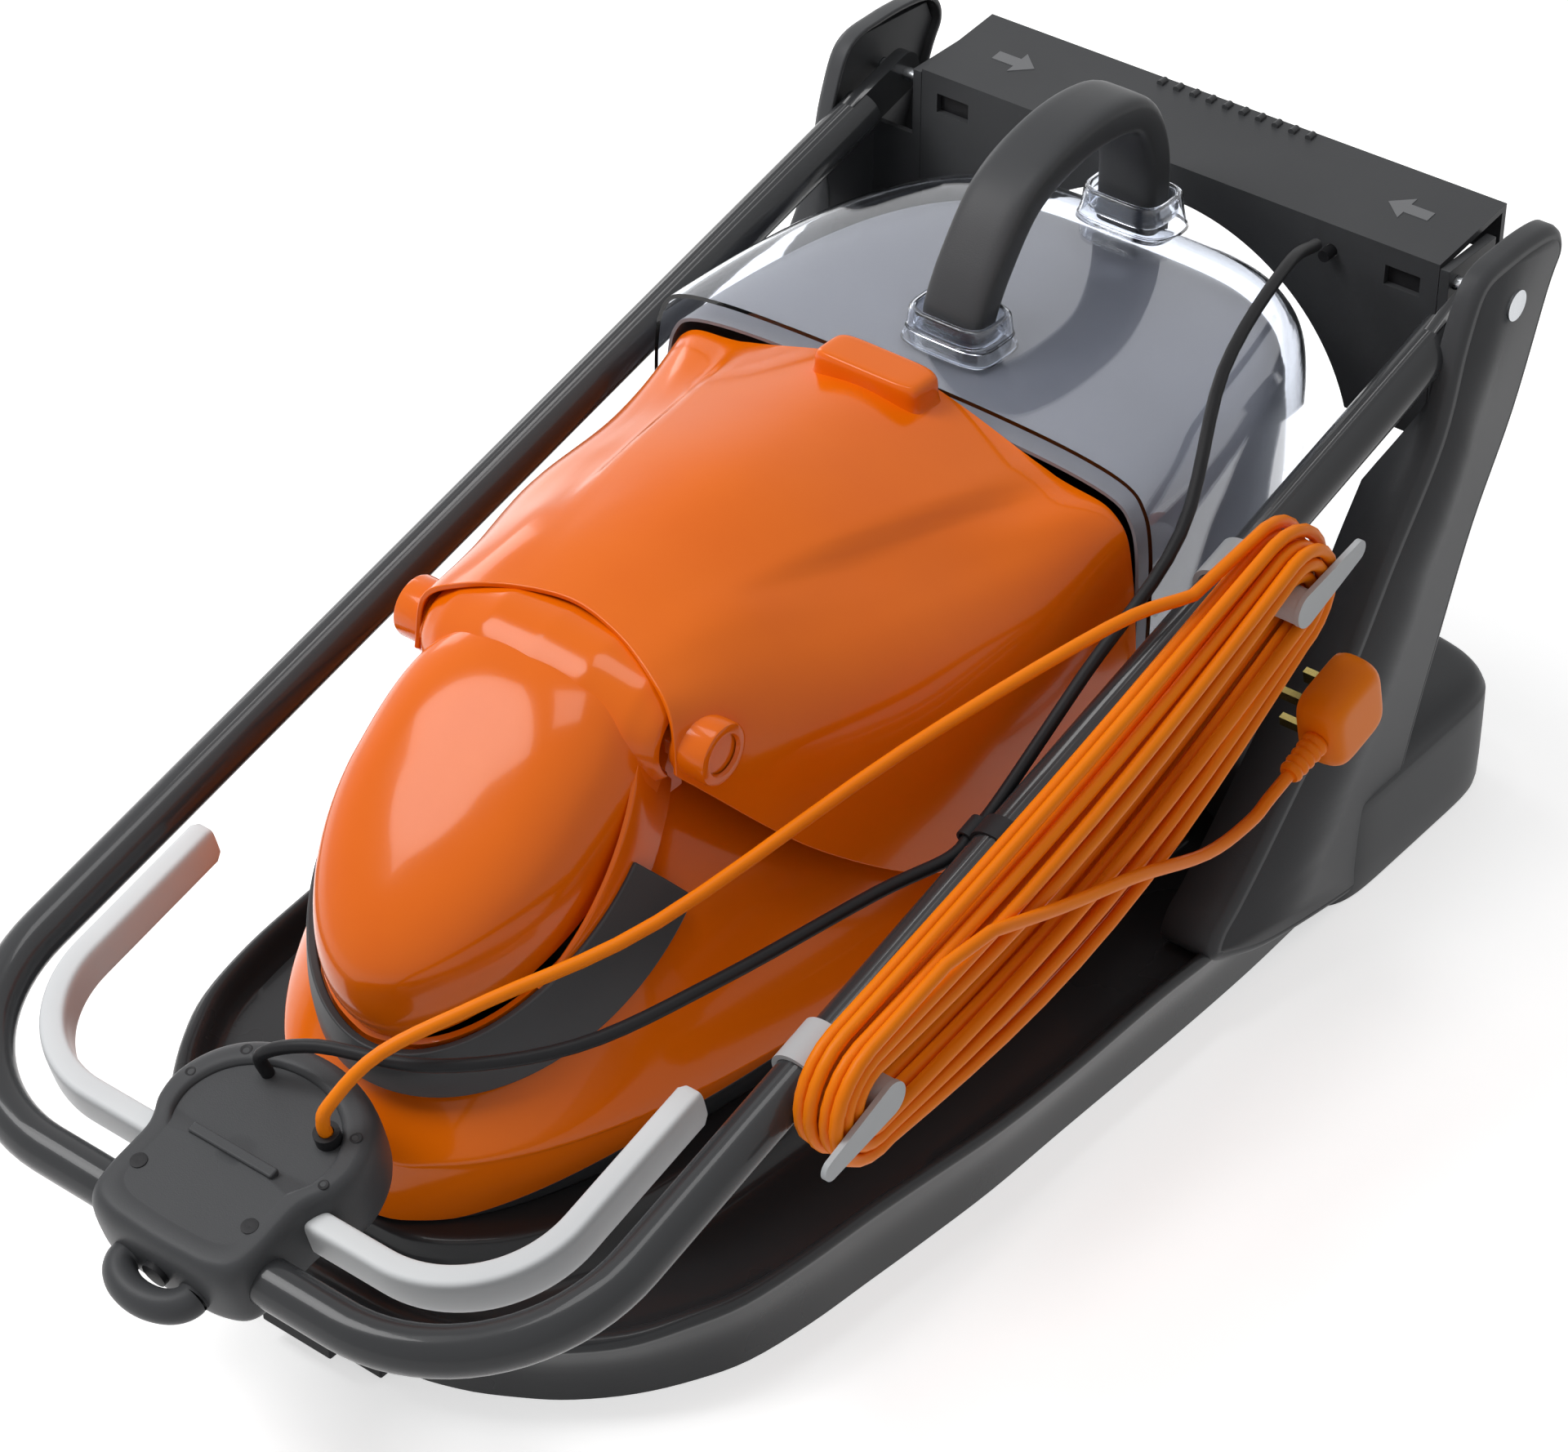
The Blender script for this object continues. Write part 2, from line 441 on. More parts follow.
def grid_mesh(name, grid, closed=False, caps=False, inside=None):
    """Mesh of quads over a grid of points in millimetres; faces look away from the point inside."""
    rows, cols = grid.shape[:2]
    index = np.arange(rows * cols).reshape(rows, cols)
    following = np.roll(index, -1, 1) if closed else index[:, 1:]
    current = index if closed else index[:, :-1]
    quads = np.stack([current[:-1], following[:-1], following[1:], current[1:]], -1).reshape(-1, 4)
    flat = grid.reshape(-1, 3)
    if inside is not None:
        q = flat[quads]
        normal = np.cross(q[:, 2] - q[:, 0], q[:, 3] - q[:, 1])
        outward = ((q.mean(1) - np.asarray(inside)) * normal).sum()
        quads = quads[:, ::-1] if outward < 0 else quads
    faces = quads.tolist()
    if caps:
        faces += [index[0].tolist(), index[-1][::-1].tolist()]
    mesh = bpy.data.meshes.new(name)
    mesh.from_pydata((flat * MM).tolist(), [], faces)
    if caps or inside is None:
        clean(mesh)
    return mesh


def prism(name, outline, axis, low, high):
    """Closed prism: an outline of two coordinates pushed along one axis from low to high."""
    line = np.asarray(outline, float)
    rows = [np.insert(line, axis, place, axis=1) for place in (low, high)]
    return grid_mesh(name, np.array(rows), closed=True, caps=True)


def clean(mesh, merge=0.0, flat=0.0):
    """Merges doubles, dissolves flat edges where asked, and makes the faces look outward."""
    bm = bmesh.new()
    bm.from_mesh(mesh)
    if merge:
        bmesh.ops.remove_doubles(bm, verts=bm.verts, dist=merge)
    if flat:
        bmesh.ops.dissolve_limit(bm, angle_limit=math.radians(flat), verts=bm.verts, edges=bm.edges)
    bmesh.ops.recalc_face_normals(bm, faces=bm.faces)
    bm.to_mesh(mesh)
    bm.free()


def join(meshes, name):
    """One mesh out of several."""
    bm = bmesh.new()
    for mesh in meshes:
        bm.from_mesh(mesh)
    whole = bpy.data.meshes.new(name)
    bm.to_mesh(whole)
    bm.free()
    for mesh in meshes:
        bpy.data.meshes.remove(mesh)
    return whole


def add_piece(mesh, body, finish, slot, nodes=(), wall=0.0, bevel=0.0, angle=35.0):
    """Puts a mesh in the scene on a body, with its wall, rounded edges and finish."""
    piece = bpy.data.objects.new(mesh.name, mesh)
    bpy.context.scene.collection.objects.link(piece)
    mesh.polygons.foreach_set("use_smooth", [True] * len(mesh.polygons))
    mesh.set_sharp_from_angle(angle=math.radians(angle))
    if wall:
        solid = piece.modifiers.new("wall", "SOLIDIFY")
        solid.thickness = wall * MM
        solid.offset = -1
    if bevel:
        edge = piece.modifiers.new("edge", "BEVEL")
        edge.width = bevel * MM
        edge.segments = 3
        edge.limit_method = "ANGLE"
        edge.angle_limit = math.radians(angle)
        edge.harden_normals = True
    mesh.materials.clear()
    mesh.materials.append(bpy.data.materials[finish])
    if nodes:
        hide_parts(*nodes)
    if body:
        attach(piece, body)
    return piece


def orange_piece(mesh, body, nodes=(), **form):
    """Piece of the orange shells."""
    return add_piece(mesh, body, "orange_abs", "orange_plastic", nodes, **form)


def grey_piece(mesh, body, nodes=(), **form):
    """Piece of the grey mouldings."""
    return add_piece(mesh, body, "grey_abs", "grey_plastic", nodes, **form)


def rounded_copy(node, body, finish, slot, bevel):
    """Copy of a CAD node with clean faces and rounded edges, which stands for the node."""
    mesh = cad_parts[node].data.copy()
    mesh.name = node + "_moulded"
    clean(mesh, merge=WELD, flat=FLAT_ANGLE)
    return add_piece(mesh, body, finish, slot, (node,), bevel=bevel)


def add_node(tree, kind, values=(), links=()):
    """Adds a shader node, sets its inputs by name and links them from other outputs."""
    node = tree.nodes.new(kind)
    for key, value in dict(values).items():
        node.inputs[key].default_value = value
    for key, source in dict(links).items():
        tree.links.new(source, node.inputs[key])
    return node


def new_finish(name, metallic=0.0, ior=1.42, coat=0.0, specular=0.22):
    """Empty principled material, with its tree and shader; a metal keeps the default IOR."""
    material = bpy.data.materials.new(name)
    material.use_nodes = True
    shader = material.node_tree.nodes["Principled BSDF"]
    shader.inputs["Metallic"].default_value = metallic
    if not metallic:
        shader.inputs["IOR"].default_value = ior
        shader.inputs["Specular IOR Level"].default_value = specular
    shader.inputs["Coat Weight"].default_value = coat
    shader.inputs["Coat Roughness"].default_value = COAT_ROUGHNESS
    return material.node_tree, shader


def moulded(name, rough, grain, grain_mm, coat=0.0, metallic=0.0, streak=(1, 1, 1), patch_mm=111):
    """Moulded, painted or metal finish: slow tone change, fine grain bump, and uneven gloss.

    The grain of a real mould is a tenth of a millimetre and wouldn't show, so it is drawn coarser."""
    tones = bpy.context.scene.mower_colours
    tree, shader = new_finish(name, metallic=metallic, coat=coat)
    place = add_node(tree, "ShaderNodeTexCoord")
    stretch = add_node(tree, "ShaderNodeMapping", {"Scale": streak}, {"Vector": place.outputs["Object"]})
    slow = add_node(tree, "ShaderNodeTexNoise", {"Scale": 1 / (patch_mm * MM), "Detail": 5.0},
                    {"Vector": stretch.outputs[0]})
    fine = add_node(tree, "ShaderNodeTexNoise", {"Scale": 1 / (grain_mm * MM), "Detail": 3.0},
                    {"Vector": stretch.outputs[0]})
    ramp = add_node(tree, "ShaderNodeValToRGB", links={"Fac": slow.outputs["Fac"]})
    ramp.color_ramp.elements[0].position = TONE_ENDS[0]
    ramp.color_ramp.elements[0].color = getattr(tones, name + "_dark")
    ramp.color_ramp.elements[1].position = TONE_ENDS[1]
    ramp.color_ramp.elements[1].color = getattr(tones, name + "_light")
    gloss = add_node(tree, "ShaderNodeMapRange", {"To Min": rough[0], "To Max": rough[1]},
                     {"Value": slow.outputs["Fac"]})
    bump = add_node(tree, "ShaderNodeBump", {"Strength": grain, "Distance": GRAIN_DEPTH * MM},
                    {"Height": fine.outputs["Fac"]})
    tree.links.new(ramp.outputs["Color"], shader.inputs["Base Color"])
    tree.links.new(gloss.outputs["Result"], shader.inputs["Roughness"])
    tree.links.new(bump.outputs["Normal"], shader.inputs["Normal"])
    return tree, shader


def clear_finish(name, scuff_mm):
    """Clear moulding: faint blue tint, and fine scuffs in its gloss."""
    tree, shader = new_finish(name, ior=1.45, specular=0.5)
    shader.inputs["Base Color"].default_value = bpy.context.scene.mower_colours.clear_tint
    shader.inputs["Transmission Weight"].default_value = 1.0
    place = add_node(tree, "ShaderNodeTexCoord")
    scuff = add_node(tree, "ShaderNodeTexNoise", {"Scale": 1 / (scuff_mm * MM), "Detail": 6.0},
                     {"Vector": place.outputs["Object"]})
    gloss = add_node(tree, "ShaderNodeMapRange",
                     {"To Min": CLEAR_ROUGHNESS[0], "To Max": CLEAR_ROUGHNESS[1]},
                     {"Value": scuff.outputs["Fac"]})
    tree.links.new(gloss.outputs["Result"], shader.inputs["Roughness"])


def make_finishes():
    """All materials of the mower, named for what the real ones are."""
    # Gloss moulded ABS: full colour with soft, clear highlights
    moulded("orange_abs", (0.15, 0.21), 0.04, 1.11, coat=0.15)
    # Spark-grained ABS: dark, with a broad dull sheen
    moulded("grey_abs", (0.34, 0.46), 0.18, 0.714)
    # Smooth moulded polypropylene: nearly black, with a waxy gleam along its lip
    moulded("deck_polypropylene", (0.22, 0.34), 0.08, 0.909, coat=0.15)
    # Powder paint on drawn tube: long narrow highlights
    moulded("painted_steel_tube", (0.2, 0.3), 0.06, 0.625, coat=0.25, streak=(1, 0.2, 1))
    # Matt moulded liner, seen through the dome: flat mid grey
    moulded("liner_grey", (0.3, 0.42), 0.1, 0.909)
    # Pale ABS of the levers and hooks: even and slightly dull
    moulded("pale_abs", (0.3, 0.42), 0.06, 0.909)
    moulded("hook_abs", (0.34, 0.45), 0.08, 0.909)
    # Extruded PVC cord and moulded plug: bright or black, with a soft rubbery sheen
    moulded("orange_pvc", (0.34, 0.46), 0.1, 0.667)
    moulded("black_pvc", (0.36, 0.5), 0.12, 0.667)
    # Small black mouldings: dull, so that they read as holes and clips
    moulded("black_abs", (0.4, 0.52), 0.15, 0.714)
    # Rolled steel and plated brass: brushed metal
    moulded("bright_steel", (0.2, 0.32), 0.08, 1.43, metallic=1.0, streak=(1, 6, 1))
    moulded("plated_brass", (0.22, 0.34), 0.06, 1.25, metallic=1.0)
    # Printed or moulded sign: a flat tone lighter than the bar
    moulded("arrow_print", (0.5, 0.6), 0.1, 0.714)
    # Clear moulded polycarbonate: bright edges and sharp reflections
    clear_finish("clear_polycarbonate", 33.3)


def make_camera():
    """Camera of the photograph: right of the nose, 37 degrees up."""
    data = bpy.data.cameras.new("photo_camera")
    data.lens = CAMERA_LENS
    data.sensor_width = CAMERA_SENSOR
    camera = bpy.data.objects.new("photo_camera", data)
    bpy.context.scene.collection.objects.link(camera)
    camera.location = CAMERA_PLACE
    aim(camera, CAMERA_AIM)
    bpy.context.scene.camera = camera


def aim(thing, target):
    """Turns a camera or lamp towards a point."""
    look = Vector(target) - thing.location
    thing.rotation_euler = look.to_track_quat("-Z", "Y").to_euler()


def hank_place(turn):
    """Point of the hank after that many turns: half circles round the hooks, and sagging, fanned runs."""
    layer = math.floor(turn / HANK_TURNS)
    w = turn - layer * HANK_TURNS
    r = HANK_OUTER - w * HANK_PITCH if layer % 2 == 0 else HANK_INNER + w * HANK_PITCH
    spread = (r - HANK_INNER) / (HANK_OUTER - HANK_INNER)
    near = math.floor(turn / HANK_TURNS + 0.5)
    w = turn - near * HANK_TURNS
    if near in (0, HANK_LAYERS):
        x = HANK_FIRST_X + HANK_PITCH * max(0, near - 1)
    else:
        x = HANK_FIRST_X + HANK_PITCH * (near - 1 + min(1, max(0, 0.5 + 2 * w)))
    a = (turn - math.floor(turn)) * 4
    if a < 1:
        q = math.radians(90 + 180 * a)
        return (x, HOOK_UPPER + r * math.cos(q), r * math.sin(q))
    if a < 2:
        u = a - 1
        share = LOW_FIRST_SHARE + LOW_LAYER_SHARE * layer
        sag = HANK_SAG * (LOW_SAG_SHARE + LOW_FAN_SHARE * spread * share)
        return (x, HOOK_UPPER + (HOOK_LOWER - HOOK_UPPER) * u, -r - sag * math.sin(math.pi * u))
    if a < 3:
        q = math.radians(270 + 180 * (a - 2))
        return (x, HOOK_LOWER + r * math.cos(q), r * math.sin(q))
    u = a - 3
    share = HIGH_FIRST_SHARE + HIGH_LAYER_SHARE * layer
    sag = HANK_SAG * (HIGH_SAG_SHARE - HIGH_FAN_SHARE * spread) * share
    return (x, HOOK_LOWER - (HOOK_LOWER - HOOK_UPPER) * u, r - sag * math.sin(math.pi * u))


def make_mains_cord():
    """Mains cord from the box through the hank to the plug, as one curve with a round section."""
    last = round(HANK_END_TURN * HANK_STEPS)
    hank = np.array([hank_place(i / HANK_STEPS) for i in range(last + 1)])
    tail = spline([hank[-1] + np.array(TAIL_START)] + [np.array(p) for p in TAIL], 5)
    path = folded(np.concatenate([spline(LEAD_IN, 5), hank, tail])) * MM
    line = bpy.data.curves.new("mains_lead", "CURVE")
    line.dimensions = "3D"
    line.bevel_depth = CORD_WIDTH / 2 * MM
    line.bevel_resolution = 3
    line.use_fill_caps = True
    row = line.splines.new("POLY")
    row.points.add(len(path) - 1)
    row.points.foreach_set("co", np.hstack([path, np.ones((len(path), 1))]).ravel())
    row.use_smooth = True
    cord = bpy.data.objects.new("mains_lead", line)
    bpy.context.scene.collection.objects.link(cord)
    line.materials.append(bpy.data.materials["orange_pvc"])
    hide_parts("cord_lead", "cord_hank", "cord_tail")
    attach(cord, "handle")
    plug = make_plug()
    relief = make_relief()


def make_plug():
    """Plug: squared rings that swell and close across its depth."""
    rings = oval_rings(PLUG_RINGS, PLUG_HALF, PLUG_HALF, (PLUG_SQUARE, PLUG_SQUARE), 48)
    rings = np.roll(rings, 1, -1) + np.array(PLUG_PLACE)
    mesh = grid_mesh("plug_moulded", folded(spline(rings, 3)), closed=True, caps=True)
    return add_piece(mesh, "handle", "orange_pvc", "orange_rubber", ("plug_body",), angle=60)


def make_relief():
    """Strain relief of the plug: radius less a taper u, plus ribs |sin n pi u|, along its length."""
    u = np.linspace(0, 1, 61)
    along = PLUG_PLACE[1] + PLUG_HALF + RELIEF_LENGTH * u
    line = np.stack([np.full_like(u, PLUG_PLACE[0]), along, np.full_like(u, PLUG_PLACE[2])], -1)
    radius = RELIEF_RADIUS - RELIEF_TAPER * u + RELIEF_RIB * np.abs(np.sin(RELIEF_RIBS * math.pi * u))
    mesh = grid_mesh("plug_relief_ribs", tube_grid(folded(line), radius, 24), closed=True, caps=True)
    return add_piece(mesh, "handle", "orange_pvc", "orange_rubber", angle=50)


def make_motor_lead():
    """Black motor lead: a run along the handle that bends at the fold, and its drop behind the crossbar."""
    path = folded(spline(MOTOR_LEAD, 6))
    mesh = grid_mesh("motor_lead", tube_grid(path, CORD_WIDTH / 2, 14), closed=True, caps=True)
    lead = add_piece(mesh, None, "black_pvc", "black_rubber", ("motor_lead_front",), angle=60)
    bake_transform(lead)
    path = spline(REAR_LEAD, 6)
    mesh = grid_mesh("motor_lead_drop", tube_grid(path, CORD_WIDTH / 2, 14), closed=True, caps=True)
    drop = add_piece(mesh, "deck", "black_pvc", "black_rubber", ("motor_lead_rear",), angle=60)


def deck_ring(wide, long, height, rise=0):
    """Deck outline at one height: shares of its sizes, raised by a side wave 1 + sin and a rear lobe."""
    x, y = np.array(DECK_SHARES).T
    wave = WAVE_SHARE * (1 + np.sin(np.radians(WAVE_TURN * y - WAVE_LAG))) * (y > WAVE_START_SHARE)
    lobe = np.where(y < WAVE_END_SHARE, wave, np.clip(LOBE_SLOPE * (y - LOBE_START_SHARE), 0, 1))
    reach = np.where(y < 0, size("deck_front"), size("deck_rear"))
    half = np.stack([x * size("deck_half") * wide, DECK_MIDDLE + y * long * reach,
                     height + rise * size("lobe_rise") * lobe], -1)
    return spline(np.concatenate([half, half[::-1] * MIRROR]), 4, closed=True)


def make_deck():
    """Hover deck: rolled lip, wavy side edge, flat valley, raised crown with the shaft hole, and lining."""
    upper = spline(np.array([deck_ring(share, share, z, rise) for share, z, rise in DECK_RINGS]), 4)
    crown = spline(np.array([deck_ring(*ring) for ring in CROWN_RINGS]), 3)[1:]
    lining = np.array([deck_ring(*ring) for ring in LINING_RINGS])
    turn = np.arctan2(crown[-1][:, 0], -(crown[-1][:, 1] - SHAFT_Y))
    hole = np.stack([SHAFT_HOLE * np.sin(turn), SHAFT_Y - SHAFT_HOLE * np.cos(turn),
                     np.full(len(turn), CROWN_TOP)], -1)
    low = hole - np.array([0, 0, CROWN_WALL])
    rings = np.concatenate([upper, crown, [hole, low], lining, upper[:1]])
    mesh = grid_mesh("hover_deck", rings, closed=True)
    clean(mesh, merge=1e-6)
    add_piece(mesh, "deck", "deck_polypropylene", "deck_plastic", ("deck_hood",), angle=50)


def make_rear_block():
    """Rear block between the arms: squared rings closed over the top; and the rest bracket at the nose."""
    rings = oval_rings(APRON_RINGS, size("apron_half"), size("apron_depth"), APRON_SQUARE, 160)
    rings += np.array([0, APRON_Y, 0])
    mesh = grid_mesh("rear_apron", spline(rings, 3), closed=True, caps=True)
    grey_piece(mesh, "deck", angle=60)
    rounded_copy("front_foot", "deck", "black_abs", "black_plastic", FOOT_EDGE)


def hood_line(half, front, lift):
    """Open hood outline: half sin^n and front cos^m round the nose, then straight to the rear."""
    along = np.linspace(0, 1, 11)
    a = np.radians(RING_START + (HOOD_TURN - RING_START) * along)
    x = half * np.sin(a) ** HOOD_SQUARE[0]
    y = -front * np.maximum(0.0, np.cos(a)) ** HOOD_SQUARE[1] - HOOD_NOSE_SHIFT * (1 - along)
    z = HOOD_SEAT + lift * (HOOD_NOSE_SHARE + (1 - HOOD_NOSE_SHARE) * along)
    right = np.stack([x, y, z], -1)
    right = np.concatenate([right, [(half * HOOD_REAR_SHARE, HOOD_REAR, HOOD_SEAT + lift)]])
    return spline(np.concatenate([right[::-1] * MIRROR, right]), 4)


def hump_line(half, long, height):
    """Open oval outline of the rim round the motor cover, counted like the hood's."""
    a = np.radians(np.linspace(RING_START, 180 - RING_START, 12))
    right = np.stack([half * np.sin(a), -long * np.cos(a), np.full_like(a, height)], -1)
    return cover_place(spline(np.concatenate([right[::-1] * MIRROR, right]), 4))


def column_part(grid, start, stop, rows):
    """Part of each column of a grid, from a start share to a stop share of its rows, in that many rows."""
    last = len(grid) - 1
    share = start + (stop - start) * np.linspace(0, 1, rows)[:, None]
    place = np.clip(share * last, 0, last - 1e-6)
    low = place.astype(int)
    part = (place - low)[..., None]
    column = np.arange(grid.shape[1])[None, :]
    return grid[low, column] * (1 - part) + grid[low + 1, column] * part


def make_hood():
    """Lower hood: a smooth net from its seat to the cover, split in a grey shroud and the orange hood."""
    half, front, height = size("hood_half"), size("hood_front"), size("hood_height")
    rings = [hood_line(x * half, y * front, z * height) for x, y, z in HOOD_RINGS]
    half, long, height = size("cover_half"), size("cover_length"), size("cover_height")
    rings += [hump_line(x * half, y * long, z * height) for x, y, z in HUMP_RINGS]
    grid = spline(np.array(rings), HOOD_STEPS)
    grid[..., 1] = np.minimum(grid[..., 1], HOOD_REAR)
    count = grid.shape[1]
    across = np.abs(np.linspace(-1, 1, count))
    rise = np.clip((across - SHROUD_START_SHARE) / SHROUD_RISE_SHARE, 0, 1)
    split = SHROUD_SHARE * HOOD_STEPS * (len(HOOD_RINGS) - 1) / (len(grid) - 1) * rise
    split = np.maximum(split, SHROUD_LEAST_SHARE)
    mesh = grid_mesh("fan_shroud", column_part(grid, np.zeros(count), split, 9), closed=True,
                     inside=HOOD_INSIDE)
    add_piece(mesh, "deck", "deck_polypropylene", "deck_plastic", wall=size("shell_wall"), angle=50)
    mesh = grid_mesh("lower_hood", column_part(grid, split, np.ones(count), 49), closed=True,
                     inside=HOOD_INSIDE)
    orange_piece(mesh, "deck", ("front_hood",), wall=size("shell_wall"), bevel=size("shell_edge"), angle=50)


def make_motor_cover():
    """Egg-shaped cover: ovals that taper by a share of cos, with a blunter power on the upper end."""
    a = circle(96)
    rings = spline(COVER_RINGS, 6)
    blunt = np.where(np.cos(a) < 0, COVER_BLUNT, 1.0)
    taper = 1 - COVER_TAPER_SHARE * np.cos(a)
    x = rings[:, 0, None] * size("cover_half") * power(np.sin(a), blunt) * taper
    y = -rings[:, 1, None] * size("cover_length") * power(np.cos(a), blunt)
    h = np.broadcast_to(rings[:, 2, None] * size("cover_height") + COVER_LIFT, x.shape)
    mesh = grid_mesh("motor_cover_shell", cover_place(np.stack([x, y, h], -1)), closed=True, caps=True)
    orange_piece(mesh, "deck", ("motor_cover",), angle=60)


def make_collar():
    """Rim behind the cover, which rises with -cos, and the grey collar in front, which rises with |sin|."""
    half, long, height = size("cover_half"), size("cover_length"), size("cover_height")
    a = np.radians(np.linspace(*RIM_TURN, 97))
    fade = np.clip(-np.cos(a) + RIM_START_SHARE, 0, 1)
    wide, far, low, lift = np.array(RIM_RINGS).T[..., None]
    rim = np.stack([half * wide * np.sin(a), -long * far * np.cos(a), low + RIM_LIFT * lift * fade], -1)
    mesh = grid_mesh("hood_rim", cover_place(spline(rim, 4)), inside=(0, COVER_Y, HOOD_SEAT))
    orange_piece(mesh, "deck", angle=60)
    rings = spline(COLLAR_RINGS, 6)
    a = np.radians(np.linspace(*COLLAR_TURN, 81))
    x = rings[:, 0, None] * half * np.sin(a)
    y = -rings[:, 1, None] * long * np.cos(a)
    h = rings[:, 2, None] * height * (COLLAR_NOSE_SHARE + (1 - COLLAR_NOSE_SHARE) * np.abs(np.sin(a)))
    mesh = grid_mesh("collar_bib", cover_place(np.stack([x, y, h], -1)), inside=(0, COVER_Y, COVER_Z))
    grey_piece(mesh, "deck", ("cover_collar",), wall=size("collar_wall"), bevel=COLLAR_EDGE, angle=40)


def make_hinge():
    """Hinge pins, and the barrel round the hinge line, thinner towards its ends."""
    rounded_copy("hinge_pins", "deck", "orange_abs", "orange_plastic", PIN_EDGE)
    across = np.linspace(-1, 1, 61)
    radius = np.interp(np.abs(across) * NECK_HALF, NECK_PLACES, NECK_RADII)
    turn = np.radians(np.linspace(*NECK_TURN, 60))
    y = HINGE_Y + radius * np.cos(turn)[:, None]
    z = HINGE_Z + radius * np.sin(turn)[:, None]
    barrel = np.stack([np.broadcast_to(across * NECK_HALF, y.shape), y, z], -1)
    mesh = grid_mesh("hinge_neck", barrel, inside=(0, HINGE_Y, HINGE_Z))
    orange_piece(mesh, "deck", wall=NECK_WALL, angle=60)


def make_lid():
    """Orange lid: a smooth net of shares, lowered by a smooth step along its shoulders."""
    net = np.array(LID_NET, float)
    net = np.concatenate([net, net[:, -2::-1] * MIRROR], 1)
    scale = np.array([size("lid_half"), size("lid_length"), size("lid_height")])
    net = net * scale + np.array([0, LID_FRONT, LID_BASE])
    grid = spline(np.swapaxes(spline(net, 8), 0, 1), 10)
    back = np.clip((grid[..., 1] - CREASE_FRONT) / CREASE_LENGTH, 0, 1)
    out = np.abs(grid[..., 0]) - (CREASE_HALF + CREASE_GAIN * back)
    section = smooth(out / CREASE_STEP) * smooth(1 - (out - CREASE_FLAT) / CREASE_FADE)
    ends = np.clip(back * CREASE_RISE, 0, 1) * np.clip((CREASE_END_SHARE - back) * CREASE_FALL, 0, 1)
    grid[..., 2] -= CREASE_DEPTH * section * ends
    mesh = grid_mesh("lid_shell", grid, inside=LID_INSIDE)
    orange_piece(mesh, "lid", ("lid_cover",), wall=size("shell_wall"), bevel=size("shell_edge"), angle=40)


def make_lid_lugs():
    """Lugs and round bosses of the lid on its hinge, and the squared finger tab at its rear edge."""
    angles = np.radians(np.linspace(90, 270, 21))
    lug = np.stack([HINGE_Y + LUG_RADIUS * np.cos(angles), HINGE_Z + LUG_RADIUS * np.sin(angles)], -1)
    lug = np.concatenate([lug, LUG_HEEL])
    lugs = [prism("lug", lug, 0, LUG_INNER, LUG_OUTER), prism("lug", lug, 0, -LUG_OUTER, -LUG_INNER)]
    orange_piece(join(lugs, "lid_lugs"), "lid", bevel=LUG_EDGE)
    cups = []
    for side in (-1, 1):
        rows = np.roll(oval_rings(BOSS_RINGS, 1, 1, (1, 1), 48), 1, -1) * np.array([side, 1, 1])
        rows += np.array([0, HINGE_Y, HINGE_Z])
        cups.append(grid_mesh("cup", rows, closed=True, inside=(side * BOSS_MIDDLE, HINGE_Y, HINGE_Z)))
    orange_piece(join(cups, "pin_bosses"), "lid", angle=40)
    rings = oval_rings(TAB_RINGS, TAB_HALF, TAB_DEPTH, TAB_SQUARE, 64) + np.array(TAB_PLACE)
    mesh = grid_mesh("finger_tab", spline(rings, 4), closed=True, caps=True)
    orange_piece(mesh, "lid", angle=60)


def dome_grid(scale, rise, steps):
    """Half ovals, squared off in plan: x = half r cos^n, y = front + depth r sin^m, z = base + rise h."""
    a = np.radians(np.linspace(0, 180, 91))
    rings = spline(DOME_RINGS, steps)
    x = size("dome_half") * scale * rings[:, 0, None] * power(np.cos(a), DOME_SQUARE[0])
    y = DOME_FRONT + size("dome_depth") * scale * rings[:, 1, None] * np.abs(np.sin(a)) ** DOME_SQUARE[1]
    z = np.broadcast_to(DOME_BASE + size("dome_rise") * rise * rings[:, 2, None], x.shape)
    return np.stack([x, y, z], -1)


def make_dome():
    """Clear dome and the grey liner behind it, from the same half ovals."""
    mesh = grid_mesh("clear_dome", dome_grid(1, 1, 5), inside=DOME_INSIDE)
    add_piece(mesh, "lid", "clear_polycarbonate", "clear_plastic", ("grass_dome",), wall=size("clear_wall"),
              bevel=CLEAR_EDGE, angle=40)
    mesh = grid_mesh("dome_liner", dome_grid(LINER_SHARE, LINER_RISE_SHARE, 4), inside=DOME_INSIDE)
    add_piece(mesh, "lid", "liner_grey", "grey_plastic", wall=LINER_WALL, bevel=CLEAR_EDGE, angle=40)


